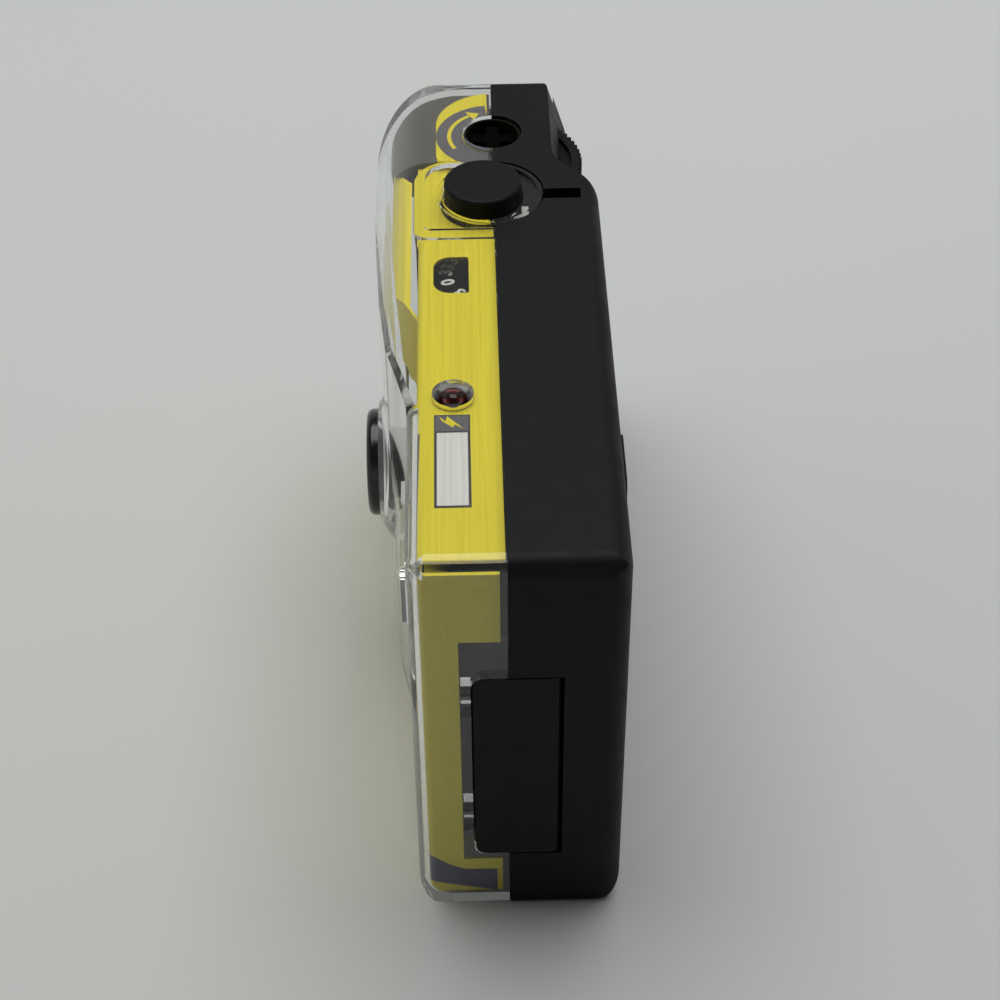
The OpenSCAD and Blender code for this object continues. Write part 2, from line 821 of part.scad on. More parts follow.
module wind_plate() {
    plate_x1 = counter_x - counter_r - 0.6;
    color([0.13, 0.13, 0.14]) difference() {
        union() {
            along_z(wind_plate_z, pad_label_z) pad_plan(0);
            along_z(wind_plate_z, wind_plate_top) {
                translate([pad_x1 - label_t - over, pocket_label_y])
                    square([plate_x1 - pad_x1 + label_t + over, seam_y - run_gap - pocket_label_y]);
                translate([hub_x, hub_y]) circle(hub_r + 2.2);
            }
            grip_shoulder();
            post(hub_x, hub_y, hub_hole_r - seat_gap, wind_plate_z, hub_rim_z);
            for (x = [hub_x + wheel_r + wind_post_gap, button_x + wind_post_out])
                post(x, wind_post_y, wind_post_r, deck_top + seat_gap, wind_plate_z + plate_t / 2);
        }
        wheel_space();
        post(button_x, button_y, button_r + run_gap + 0.3, wind_plate_z - over, body_h);
        post(hub_x, hub_y, hub_r + pin_gap, wind_plate_z - over, body_h);
    }
}

module latch_flap() {
    color([0.07, 0.075, 0.08]) {
        along_x(near_x - wall, near_x) rounded(
            [hinge_y - flap_w, flap_z0], [hinge_y, flap_z0 + flap_h],
            [flap_corner_r, flap_hinge_r, flap_hinge_r, flap_corner_r]);
        post(hinge_x, hinge_y, hinge_r, flap_z0, flap_z0 + flap_h);
        post(hinge_x, hinge_y, flap_pin_r, flap_z0 - flap_pin_l, flap_z0 + flap_h + flap_pin_l);
    }
}

// Horizontal decks of the frame, cut round the cassette
module frame_decks() {
    difference() {
        for (z = [low_deck_z, deck_z])
            block([hub_x + 5, frame_y, z], [near_x - wall - 0.7, back_in - run_gap, z + deck_t]);
        post(hub_x, hub_y, cassette_r + 0.4, 0, body_h);
        block([near_x - wall - over, hinge_y - flap_w - 2, 0],
              [near_x, hinge_y + 2, flap_z0 + flap_h + 4]);
    }
}

// Upright walls between the decks: film gate, lens board, cassette cradle and roll chamber
module frame_walls() {
    z0 = low_deck_top - 0.1;
    z1 = deck_z + 0.1;
    block([gate_x0 - 5, gate_y - gate_t, z0], [bay_x1 + 3, gate_y, z1]);
    block([lens_x - 13, frame_y, z0], [lens_x + 13, frame_y + frame_t, z1]);
    intersection() {
        difference() {
            post(roll_x, roll_y, roll_case_r, z0, z1);
            post(roll_x, roll_y, roll_r + roll_gap, 0, body_h);
        }
        block([far_x, front_y, 0], [near_x, roll_y + 4, body_h]);
    }
    intersection() {
        difference() {
            post(hub_x, hub_y, cassette_r + 0.4 + frame_t, z0, z1);
            post(hub_x, hub_y, cassette_r + 0.4, 0, body_h);
        }
        block([hub_x + 6, grip_y, 0], [near_x, hub_y + 5, body_h]);
    }
}

// Light tunnel from the lens board to the film gate, grown by g
module light_tunnel(g) {
    w = tunnel_front_w / 2 + g;
    h = tunnel_front_h / 2 + g;
    y0 = frame_y + frame_t;
    y1 = gate_y - gate_t / 2;
    hull() {
        block([lens_x - w, y0 - 0.2 - g / 10, lens_z - h], [lens_x + w, y0 + 0.2, lens_z + h]);
        block([gate_x0 - g, y1, lens_z - gate_h / 2 - g], [gate_x1 + g, y1 + 0.2, lens_z + gate_h / 2 + g]);
    }
}

// Square tube that holds the two viewfinder lenses
module finder_tube() {
    z0 = deck_top - 0.1;
    z1 = finder_z + finder_h + finder_wall;
    difference() {
        block([finder_x - finder_w / 2 - finder_wall, frame_y, z0],
              [finder_x + finder_w / 2 + finder_wall, back_in - run_gap, z1]);
        block([finder_x - finder_w / 2, front_y, finder_z],
              [finder_x + finder_w / 2, back_y, finder_z + finder_h]);
    }
}

// Posts, bushes and guides that the moving pieces turn or slide on
module frame_posts() {
    post(button_x, button_y, guide_r, deck_top - 0.1, guide_z);
    post(sprocket_x, sprocket_y, bush_r, deck_top - 0.1, deck_top + bush_h);
    post(counter_x, counter_y, shoulder_r, deck_top - 0.1, counter_z - 0.15);
    post(counter_x, counter_y, post_r, deck_top - 0.1, counter_z + counter_t + 0.3);
    post(energy_x, energy_y, lever_pin_r, deck_top - 0.1, energy_z + lever_t + 2.4);
    post(meter_x, meter_y, lever_pin_r, deck_top - 0.1, meter_z + lever_t + 0.6);
    post(meter_x, meter_y, 2, deck_top - 0.1, meter_z - 0.15);
    barrel(blade_pin_x, blade_pin_z, blade_pin_r, blade_y - 0.1, frame_y + 0.2);
}

module main_frame() {
    color([0.13, 0.13, 0.14]) difference() {
        union() {
            frame_decks();
            frame_walls();
            light_tunnel(frame_t);
            finder_tube();
            frame_posts();
        }
        light_tunnel(0);
        block([gate_x0, gate_y - gate_t, lens_z - gate_h / 2],
              [gate_x1, gate_y + over, lens_z + gate_h / 2]);
        barrel(lens_x, lens_z, 3, frame_y - over, frame_y + frame_t + over);
        post(button_x, button_y, stem_r + pin_gap, stem_z - button_travel - 0.3, body_h);
        post(sprocket_x, sprocket_y, shaft_r + pin_gap, sprocket_z - over, deck_top + bush_h + over);
        post(sprocket_x, sprocket_y, sprocket_r + run_gap, sprocket_z - run_gap, deck_z - 0.2);
        thumb_recess(wall + seat_gap);
    }
}

module thumbwheel() {
    color([0.06, 0.06, 0.065]) translate([hub_x, hub_y, 0]) {
        difference() {
            along_z(wheel_z0, wheel_z1) polygon(toothed(wheel_r, 0.5, wheel_ridges));
            along_z(wheel_z1 - 0.8, wheel_z1 + over) difference() {
                circle(wheel_r - 1.6);
                circle(wheel_r - 4.2);
            }
        }
        post(0, 0, hub_r, wheel_z1 - 0.1, hub_top - cross_h);
        for (turn = [0, 90])
            rotate(turn) block([-cross_across / 2, -cross_bar / 2, hub_top - cross_h - 0.1],
                               [cross_across / 2, cross_bar / 2, hub_top]);
        block([-key_w / 2, -key_t / 2, cassette_z1 - 0.4], [key_w / 2, key_t / 2, wheel_z0 + 0.1]);
    }
}

module shutter_button() {
    top = body_h + button_up;
    color([0.06, 0.06, 0.065]) translate([button_x, button_y, 0]) {
        translate([0, 0, button_z]) rotate_extrude() {
            square([button_r - button_edge_r, top - button_z]);
            square([button_r, top - button_z - button_edge_r]);
            translate([button_r - button_edge_r, top - button_z - button_edge_r]) circle(button_edge_r);
        }
        post(0, 0, stem_r, stem_z, button_z + 0.1);
    }
}

module button_spring() {
    color("silver") translate([button_x, button_y, 0])
        wire_spring(spring_r, spring_wire_r, spring_turns, guide_z + spring_wire_r + 0.05,
                    button_z - spring_wire_r - 0.05);
}

module flash_button() {
    y = front_in + flange_in;
    r = flash_button_d / 2;
    color([0.06, 0.06, 0.065]) {
        barrel(flash_button_x, flash_button_z, r, front_y - flash_button_out, y + 0.1);
        barrel(flash_button_x, flash_button_z, r + button_flange, y, y + flange_t);
    }
}

module lens_ring() {
    depth = cup_y - seat_gap - ring_y;
    color([0.05, 0.05, 0.055]) translate([lens_x, ring_y + depth, lens_z]) rotate([90, 0, 0])
        difference() {
            rotate_extrude() {
                square([ring_r - 1, depth]);
                square([ring_r, depth - 1]);
                translate([ring_r - 1, depth - 1]) circle(1);
            }
            translate([0, 0, -over]) cylinder(r = lens_r - 1, h = depth + 2 * over);
            translate([0, 0, 0.8]) cylinder(r1 = lens_r - 1, r2 = ring_r - 1.2, h = depth - 0.79);
        }
}

module taking_lens() {
    curve_r = 9;
    back = holder_y - seat_gap;
    color([0.8, 0.86, 0.9, 0.5]) intersection() {
        barrel(lens_x, lens_z, lens_r, cup_y + 0.4, back);
        translate([lens_x, cup_y + 0.4 + curve_r, lens_z]) sphere(curve_r);
    }
}

module lens_holder() {
    color([0.1, 0.1, 0.11]) difference() {
        union() {
            barrel(lens_x, lens_z, holder_r, holder_y, holder_y + holder_t);
            barrel(lens_x, lens_z, lens_r + seat_gap + cup_t, cup_y, holder_y + 0.1);
            difference() {
                barrel(lens_x, lens_z, holder_r, holder_y + 0.5, frame_y - 0.05);
                barrel(lens_x, lens_z, holder_r - 0.9, holder_y, front_in + 4);
            }
        }
        barrel(lens_x, lens_z, lens_r + seat_gap, cup_y - over, holder_y);
        barrel(lens_x, lens_z, aperture_r, holder_y - over, frame_y);
    }
}

module shutter_blade() {
    color([0.12, 0.12, 0.13]) difference() {
        union() {
            barrel(lens_x, lens_z, aperture_r + 1, blade_y, blade_y + blade_t);
            barrel(blade_pin_x, blade_pin_z, blade_pin_r + 0.9, blade_y, blade_y + blade_t);
            translate([lens_x, blade_y, lens_z])
                rotate([0, -atan2(blade_pin_z - lens_z, blade_pin_x - lens_x), 0])
                cube([norm([blade_pin_x - lens_x, blade_pin_z - lens_z]), blade_t, 1.4]);
        }
        barrel(blade_pin_x, blade_pin_z, blade_pin_r + pin_gap, blade_y - over, blade_y + over);
    }
}

// Flat lever with a round boss and one arm that points along an angle
module lever(x, y, z, arm, angle) {
    difference() {
        translate([x, y, z]) {
            cylinder(r = lever_pin_r + 1.3, h = lever_t);
            rotate(angle) translate([0, -0.9, 0]) cube([arm, 1.8, lever_t]);
            rotate(angle) translate([arm, 0, 0]) cylinder(r = 0.9, h = lever_t);
        }
        post(x, y, lever_pin_r + pin_gap, z - over, z + lever_t + over);
    }
}

module energy_lever() {
    color([0.86, 0.86, 0.84]) lever(energy_x, energy_y, energy_z, energy_arm, 214);
}

module lever_spring() {
    color("silver") translate([energy_x, energy_y, 0])
        wire_spring(torsion_r, torsion_wire_r, 2, energy_z + lever_t + 0.6, energy_z + lever_t + 2);
}

module metering_lever() {
    color([0.86, 0.86, 0.84]) lever(meter_x, meter_y, meter_z, meter_arm, 230);
}

module film_cassette() {
    z0 = cassette_z0;
    z1 = cassette_z1;
    color([0.75, 0.76, 0.78]) difference() {
        union() {
            post(hub_x, hub_y, cassette_r, z0, z1);
            block([hub_x + lip_in, film_y + film_t / 2 - lip_h / 2, film_z0 - 0.8],
                  [hub_x + lip_out, film_y + film_t / 2 + lip_h / 2, film_z1 + 0.8]);
        }
        post(hub_x, hub_y, cassette_r - shell_t, z0 - over, z1 + over);
        block([hub_x + lip_in - over, film_y + film_t / 2 - lip_slot / 2, film_z0 - 0.3],
              [hub_x + lip_out + over, film_y + film_t / 2 + lip_slot / 2, film_z1 + 0.3]);
    }
}

module cassette_caps() {
    color([0.1, 0.1, 0.1]) for (z = [cassette_z0 + 0.05, cassette_z1 - 0.05 - cap_t])
        difference() {
            post(hub_x, hub_y, cassette_r - shell_t - 0.05, z, z + cap_t);
            post(hub_x, hub_y, spool_end_r + pin_gap, z - over, z + cap_t + over);
        }
}

module cassette_spool() {
    flange_z = cassette_z0 + 0.05 + cap_t + 0.2;
    flange_top = cassette_z1 - 0.05 - cap_t - 0.2;
    color([0.12, 0.12, 0.12]) difference() {
        union() {
            post(hub_x, hub_y, spool_r, flange_z, flange_top);
            for (z = [flange_z, flange_top - 1])
                post(hub_x, hub_y, cassette_r - shell_t - 1, z, z + 1);
            post(hub_x, hub_y, spool_end_r, cassette_z0 - knob_h, spool_top);
        }
        block([hub_x - key_w / 2 - key_room, hub_y - key_t / 2 - key_room, cassette_z1 - 0.6],
              [hub_x + key_w / 2 + key_room, hub_y + key_t / 2 + key_room, spool_top + over]);
    }
}

module film_strip() {
    color([0.28, 0.17, 0.12])
        block([hub_x + lip_in + 2, film_y, film_z0], [roll_x, film_y + film_t, film_z1]);
}

module film_roll() {
    color([0.28, 0.17, 0.12]) difference() {
        post(roll_x, roll_y, roll_r, film_z0, film_z1);
        post(roll_x, roll_y, 3, film_z0 - over, film_z1 + over);
    }
}

module film_sprocket() {
    color([0.86, 0.86, 0.84]) translate([sprocket_x, sprocket_y, 0]) {
        post(0, 0, sprocket_r - tooth_h, sprocket_z, sprocket_z + sprocket_t);
        along_z(sprocket_z + 0.4, sprocket_z + sprocket_t - 0.4)
            polygon(toothed(sprocket_r, tooth_h + 0.1, sprocket_teeth));
        post(0, 0, shaft_r, sprocket_z, driver_z + driver_t);
        post(0, 0, shaft_r + 0.7, sprocket_z, deck_z - run_gap);
        post(0.6, 0, cam_r - 0.6, deck_top + bush_h + run_gap, deck_top + bush_h + run_gap + cam_t);
        block([-driver_r, -0.5, driver_z], [0, 0.5, driver_z + driver_t]);
    }
}

module counter_dial() {
    color([0.08, 0.08, 0.085]) difference() {
        translate([counter_x, counter_y, 0]) along_z(counter_z, counter_z + counter_t)
            polygon(toothed(counter_r, counter_tooth_h, counter_teeth));
        post(counter_x, counter_y, post_r + pin_gap, counter_z - over, counter_z + over + counter_t);
    }
}

// Viewfinder lens: a plate with a curved face
module finder_lens(y, curve_y) {
    curve_r = 16;
    color([0.8, 0.86, 0.9, 0.5]) intersection() {
        block([finder_x - finder_w / 2 + seat_gap, y, finder_z + seat_gap],
              [finder_x + finder_w / 2 - seat_gap, y + finder_lens_t, finder_z + finder_h - seat_gap]);
        translate([finder_x, curve_y, finder_z + finder_h / 2]) sphere(curve_r);
    }
}

module viewfinder_front_lens() {
    finder_lens(frame_y + 0.3, frame_y + 0.3 + 16);
}

module viewfinder_rear_lens() {
    finder_lens(back_in - run_gap - 0.3 - finder_lens_t, back_in - run_gap - 0.3 - 16);
}

module flash_window() {
    color([0.88, 0.92, 0.95, 0.5]) {
        flash_pane(0, front_y - flash_out, front_in + 0.2);
        flash_pane(flash_flange, front_in + 0.1, front_in + 0.7);
    }
}

module flash_reflector() {
    x0 = flash_x - flash_w / 2 + 0.4;
    x1 = flash_x + flash_w / 2 - 0.4;
    color([0.86, 0.87, 0.88]) difference() {
        intersection() {
            translate([x0, flash_y, flash_z]) rotate([0, 90, 0]) cylinder(r = reflector_r, h = x1 - x0);
            block([x0, flash_y, 0], [x1, back_y, body_h]);
        }
        translate([x0 + reflector_t, flash_y, flash_z]) rotate([0, 90, 0])
            cylinder(r = reflector_r - reflector_t, h = x1 - x0 - 2 * reflector_t);
        translate([x0 - over, flash_y + 1.8, flash_z]) rotate([0, 90, 0])
            cylinder(r = tube_r + 0.2, h = x1 - x0 + 2 * over);
    }
}

module flash_tube() {
    color([0.9, 0.94, 0.96, 0.6]) translate([flash_x - flash_w / 2, flash_y + 1.8, flash_z])
        rotate([0, 90, 0]) cylinder(r = tube_r, h = flash_w);
}

module ready_lamp() {
    dome_z = lamp_top - lamp_r;
    base_z = dome_z - lamp_body;
    color([0.75, 0.05, 0.04]) translate([lamp_x, lamp_y, 0]) {
        translate([0, 0, dome_z]) sphere(lamp_r);
        post(0, 0, lamp_r, base_z, dome_z);
        post(0, 0, lamp_r + lamp_flange, base_z, base_z + lamp_foot);
        for (side = [-1, 1])
            post(0, side * lamp_r * 0.55, lead_r, deck_top + seat_gap, base_z + 0.1);
    }
}

module lamp_bezel() {
    color([0.75, 0.76, 0.78]) difference() {
        post(lamp_x, lamp_y, bezel_r, top_in - 1.8, bezel_top);
        post(lamp_x, lamp_y, lamp_r + seat_gap, 0, body_h);
        translate([lamp_x, lamp_y, bezel_top - bezel_cup])
            cylinder(r1 = lamp_r + seat_gap, r2 = bezel_r - 0.2, h = bezel_cup + 0.01);
    }
}

module circuit_board() {
    color([0.32, 0.25, 0.1]) block(
        [gate_x1 - board_over, board_y, low_deck_top + board_gap],
        [bay_x1 + board_over, board_y + board_t, deck_z - board_gap]);
}

module flash_capacitor() {
    z0 = low_deck_top + part_gap;
    color([0.1, 0.1, 0.12]) {
        post(bay_x, capacitor_y, capacitor_r, z0, z0 + capacitor_l - 1);
        post(bay_x, capacitor_y, capacitor_r - 0.6, z0, z0 + capacitor_l);
    }
}

module step_up_transformer() {
    z0 = low_deck_top + part_gap;
    y0 = board_y + board_t + part_gap;
    color([0.85, 0.7, 0.25]) {
        block([side_x, y0, z0], [side_x + transformer_w, y0 + transformer_w, z0 + 1.4]);
        block([side_x + 0.7, y0 + 0.7, z0], [side_x + transformer_w - 0.7, y0 + transformer_w - 0.7,
              z0 + transformer_h]);
        block([side_x, y0, z0 + transformer_h - 1.4],
              [side_x + transformer_w, y0 + transformer_w, z0 + transformer_h]);
    }
}

module trigger_coil() {
    z0 = low_deck_top + transformer_h + 8;
    x = side_x + transformer_w / 2;
    y = board_y + board_t + part_gap + coil_r;
    color([0.75, 0.4, 0.15]) {
        post(x, y, coil_r, z0, z0 + 1);
        post(x, y, coil_r - 0.5, z0, z0 + coil_h);
        post(x, y, coil_r, z0 + coil_h - 1, z0 + coil_h);
    }
}

module flash_contact() {
    y1 = board_y - 0.02;
    color("gold") block([flash_button_x - leaf_w / 2, y1 - leaf_t, flash_button_z - leaf_h / 2],
                        [flash_button_x + leaf_w / 2, y1, flash_button_z + leaf_h / 2]);
}

module battery() {
    tip = 1.2;
    color([0.12, 0.12, 0.13]) translate([battery_x - battery_l / 2, battery_y, battery_z])
        rotate([0, 90, 0]) {
            cylinder(r = battery_d / 2, h = battery_l - tip);
            cylinder(r = 1.9, h = battery_l);
        }
}

module battery_contacts() {
    half_w = 3.5;
    out = battery_l / 2 + 0.1 + contact_t / 2;
    color("silver") for (x = [battery_x - out, battery_x + out])
        block([x - contact_t / 2, battery_y - half_w, battery_z - half_w],
              [x + contact_t / 2, battery_y + half_w, low_deck_z - seat_gap]);
}

rear_cover();
front_cover();
label_card();
wind_label();
latch_flap();
main_frame();
wind_plate();
thumbwheel();
shutter_button();
button_spring();
flash_button();
lens_ring();
taking_lens();
lens_holder();
shutter_blade();
energy_lever();
lever_spring();
metering_lever();
film_cassette();
cassette_caps();
cassette_spool();
film_strip();
film_roll();
film_sprocket();
counter_dial();
viewfinder_front_lens();
viewfinder_rear_lens();
flash_window();
flash_reflector();
flash_tube();
ready_lamp();
lamp_bezel();
circuit_board();
flash_capacitor();
step_up_transformer();
trigger_coil();
flash_contact();
battery();
battery_contacts();
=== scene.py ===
import math

import bmesh
import bpy
from mathutils import Matrix, Vector


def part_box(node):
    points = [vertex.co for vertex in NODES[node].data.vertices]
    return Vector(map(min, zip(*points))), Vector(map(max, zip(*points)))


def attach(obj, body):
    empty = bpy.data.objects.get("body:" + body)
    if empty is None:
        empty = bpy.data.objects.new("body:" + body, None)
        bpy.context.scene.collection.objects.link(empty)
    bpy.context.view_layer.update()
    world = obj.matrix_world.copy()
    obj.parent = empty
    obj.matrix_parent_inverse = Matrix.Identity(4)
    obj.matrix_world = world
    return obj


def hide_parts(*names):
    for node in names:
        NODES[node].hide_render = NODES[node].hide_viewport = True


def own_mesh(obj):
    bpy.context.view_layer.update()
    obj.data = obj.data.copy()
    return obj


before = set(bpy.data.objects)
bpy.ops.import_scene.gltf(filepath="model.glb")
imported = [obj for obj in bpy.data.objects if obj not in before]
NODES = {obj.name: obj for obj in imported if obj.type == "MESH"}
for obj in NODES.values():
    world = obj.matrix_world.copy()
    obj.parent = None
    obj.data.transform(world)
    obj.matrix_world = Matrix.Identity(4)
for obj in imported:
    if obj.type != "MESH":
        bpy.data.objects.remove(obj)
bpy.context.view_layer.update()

# One millimetre in metres
MM = 0.001

# View of the photograph: turns in degrees, place and lens in mm
CAMERA_AZIMUTH = 89.105
CAMERA_ELEVATION = 42.462
CAMERA_ROLL = -0.577
CAMERA_PLACE = (243.05, -5.19, 249.02)
CAMERA_LENS = 78.394
CAMERA_SENSOR = 36

# Axes of the winding hub and the counter dial, x and y in mm
HUB = (-40.3, -1.4)
DIAL = (-8.5, -3)

# Heights of the printed faces in mm
WIND_CARD_TOP = 64.455
CARD_TOP = 64.485
DIAL_TOP = 61.925
CARD_FOOT = 2.0

# Folds of the card in mm: y and z of the front top edge, x and y of the near end's front edge
TOP_FOLD = (-11.5, 63.5)
END_FOLD = (52.5, -11.5)
FOLD_R = 0.98

# Thickness of a printed sheet, and its gap off a folded card, in mm
PRINT_T = 0.02
PRINT_GAP = 0.006

# Scales of the noise behind the colour, the gloss, and the paler edges of plastics, which are partly wear
# and partly painted highlight
TONE_SCALE = 55
GLOSS_SCALE = 260
WEAR_AND_SHEEN_SCALE = 900

# Grain depth, and radius of the paler edge of moulded plastic (partly wear, partly painted highlight), in
# metres
GRAIN_DEPTH = 0.00003
EDGE_R = 0.0003

# Colour of the daylight in the room
DAYLIGHT = (0.97, 0.99, 0.98, 1)

# Walls of clear plastic that a ray may pass or mirror in
CLEAR_BOUNCES = 96


# Camera at the photograph's angle
def aim_camera():
    az, el, roll = (math.radians(a) for a in (CAMERA_AZIMUTH, CAMERA_ELEVATION, CAMERA_ROLL))
    back = Vector((math.sin(az) * math.cos(el), -math.cos(az) * math.cos(el), math.sin(el)))
    right = (-back).cross(Vector((0, 0, 1))).normalized()
    up = right.cross(-back)
    turned_right = right * math.cos(roll) + up * math.sin(roll)
    turned_up = up * math.cos(roll) - right * math.sin(roll)
    data = bpy.data.cameras.new("camera")
    data.lens = CAMERA_LENS
    data.sensor_width = CAMERA_SENSOR
    data.clip_start = 0.01
    data.clip_end = 20
    camera = bpy.data.objects.new("camera", data)
    place = Matrix((turned_right, turned_up, back)).transposed().to_4x4()
    place.translation = Vector(CAMERA_PLACE) * MM
    camera.matrix_world = place
    bpy.context.scene.collection.objects.link(camera)
    bpy.context.scene.camera = camera


# Number carried evenly from one range to another
def remap(tree, source, start, end, low=0.0, high=1.0):
    made = tree.nodes.new("ShaderNodeMapRange")
    ends = {"From Min": start, "From Max": end, "To Min": low, "To Max": high}
    for key, value in ends.items():
        made.inputs[key].default_value = value
    tree.links.new(source, made.inputs["Value"])
    return made.outputs["Result"]


# Two numbers put together by one operation
def combine(tree, operation, first, second):
    made = tree.nodes.new("ShaderNodeMath")
    made.operation = operation
    tree.links.new(first, made.inputs[0])
    tree.links.new(second, made.inputs[1])
    return made.outputs["Value"]


# Nodes of one material
class Graph:
    def __init__(self, name):
        self.material = bpy.data.materials.new(name)
        self.material.use_nodes = True
        self.tree = self.material.node_tree
        self.shader = self.tree.nodes["Principled BSDF"]

    def add(self, kind, **sockets):
        made = self.tree.nodes.new(kind)
        for key, value in sockets.items():
            made.inputs[key].default_value = value
        return made

    def link(self, source, target):
        self.tree.links.new(source, target)

    def drive(self, source, socket):
        self.link(source, self.shader.inputs[socket])

    def put(self, **sockets):
        for key, value in sockets.items():
            self.shader.inputs[key.replace("_", " ")].default_value = value

    def place(self):
        return self.add("ShaderNodeTexCoord").outputs["Object"]

    def noise(self, scale, detail=2.0, stretch=None):
        place = self.place()
        if stretch:
            mapping = self.add("ShaderNodeMapping")
            mapping.inputs["Scale"].default_value = stretch
            self.link(place, mapping.inputs["Vector"])
            place = mapping.outputs["Vector"]
        made = self.add("ShaderNodeTexNoise", Scale=scale, Detail=detail)
        self.link(place, made.inputs["Vector"])
        return made.outputs["Fac"]

    def ramp(self, source, low, high, start=0.3, end=0.7):
        made = self.add("ShaderNodeValToRGB")
        made.color_ramp.elements[0].position = start
        made.color_ramp.elements[1].position = end
        made.color_ramp.elements[0].color = (*low, 1)
        made.color_ramp.elements[1].color = (*high, 1)
        self.link(source, made.inputs["Fac"])
        return made.outputs["Color"]

    def spread(self, source, low, high):
        return remap(self.tree, source, 0.3, 0.7, low, high)

    def bump(self, source, height, strength=1.0):
        made = self.add("ShaderNodeBump", Strength=strength, Distance=height)
        self.link(source, made.inputs["Height"])
        self.drive(made.outputs["Normal"], "Normal")

    def vector(self, operation, source, by=None):
        made = self.add("ShaderNodeVectorMath")
        made.operation = operation
        self.link(source, made.inputs[0])
        if by:
            made.inputs[1].default_value = by
        return made.outputs["Value" if operation == "LENGTH" else "Vector"]

    # 1 along edges, 0 on flat faces, broken up by noise
    def edge(self, radius):
        bevel = self.add("ShaderNodeBevel", Radius=radius)
        bevel.samples = 4
        dot = self.add("ShaderNodeVectorMath")
        dot.operation = "DOT_PRODUCT"
        self.link(bevel.outputs["Normal"], dot.inputs[0])
        self.link(self.add("ShaderNodeNewGeometry").outputs["True Normal"], dot.inputs[1])
        sharp = remap(self.tree, dot.outputs["Value"], 0.98, 0.80)
        return combine(self.tree, "MULTIPLY", sharp, self.spread(self.noise(WEAR_AND_SHEEN_SCALE, 3), 0.2, 1.0))

    # Colour that a factor turns into another colour, or into another socket's colour
    def over(self, factor, below, above):
        made = self.add("ShaderNodeMix")
        made.data_type = "RGBA"
        self.link(factor, made.inputs["Factor"])
        self.link(below, made.inputs["A"])
        if isinstance(above, tuple):
            made.inputs["B"].default_value = (*above, 1)
        else:
            self.link(above, made.inputs["B"])
        return made.outputs["Result"]

    # Even colour with slow changes of tone, and paler edges that are partly wear and partly a painted
    # highlight along rounded edges
    def moulded(self, color, wear_and_sheen, edge_r=EDGE_R):
        tone = self.ramp(self.noise(TONE_SCALE, 3), shade(color, 0.95), shade(color, 1.05))
        return self.over(self.edge(edge_r), tone, shade(color, wear_and_sheen))

    def uneven_gloss(self, rough):
        self.drive(self.spread(self.noise(GLOSS_SCALE, 4), rough - 0.06, rough + 0.06), "Roughness")


def shade(color, by):
    return tuple(min(1, c * by) for c in color)


# Moulded plastic with fine grain, uneven gloss, and paler edges that are partly wear and partly painted
# highlight
def plastic(name, color, rough, grain=5000, depth=GRAIN_DEPTH, gloss=0.5, wear_and_sheen=2.2):
    g = Graph(name)
    g.drive(g.moulded(color, wear_and_sheen), "Base Color")
    g.uneven_gloss(rough)
    g.bump(g.noise(grain, 2), depth)
    g.put(Specular_IOR_Level=gloss)
    return g.material


# Moulded plastic with painted shade: deep black and without gloss within a radius of an upright axis,
# standing in for the shade down a hole
def hole_shaded(name, color, rough, core, core_r, hole_shade, gloss=0.3):
    g = Graph(name)
    away = g.vector("SUBTRACT", g.place(), (core[0] * MM, core[1] * MM, 0))
    length = g.vector("LENGTH", g.vector("MULTIPLY", away, (1, 1, 0)))
    outside = remap(g.tree, length, core_r * MM, (core_r + 0.1) * MM)
    # Painted shade down the hole round the axis
    inner = g.ramp(g.noise(300, 2), shade(hole_shade, 0.9), shade(hole_shade, 1.1))
    g.drive(g.over(outside, inner, g.moulded(color, 1.6)), "Base Color")
    g.drive(remap(g.tree, outside, 0, 1, 0, gloss), "Specular IOR Level")
    g.uneven_gloss(rough)
    g.bump(g.noise(4000, 2), GRAIN_DEPTH)
    return g.material


# Clear plastic with faint flow marks
def clear(name, tint, rough, index=1.49, haze=0.0):
    g = Graph(name)
    g.drive(g.ramp(g.noise(40), shade(tint, 0.97), tint), "Base Color")
    g.drive(g.spread(g.noise(150, 3), rough * 0.6, rough * 1.6), "Roughness")
    g.bump(g.noise(120, 2), 0.00002, 0.25)
    g.put(Transmission_Weight=1 - haze, IOR=index)
    return g.material


# Printed card with fine streaks along its length
def card(name, color):
    g = Graph(name)
    streak = g.noise(1.0, 3, (35, 2600, 2600))
    g.drive(g.ramp(streak, shade(color, 0.9), shade(color, 1.08)), "Base Color")
    g.drive(g.spread(g.noise(400, 3), 0.38, 0.52), "Roughness")
    g.bump(streak, 0.00001, 0.4)
    g.put(Specular_IOR_Level=0.15)
    return g.material


# Metal with fine brush marks
def metal(name, color, rough, stretch=(300, 300, 3000)):
    g = Graph(name)
    brush = g.noise(1.0, 3, stretch)
    g.drive(g.ramp(brush, shade(color, 0.88), shade(color, 1.06)), "Base Color")
    g.drive(g.spread(g.noise(500, 3), rough - 0.06, rough + 0.08), "Roughness")
    g.bump(brush, 0.000008, 0.5)
    g.put(Metallic=1.0)
    return g.material


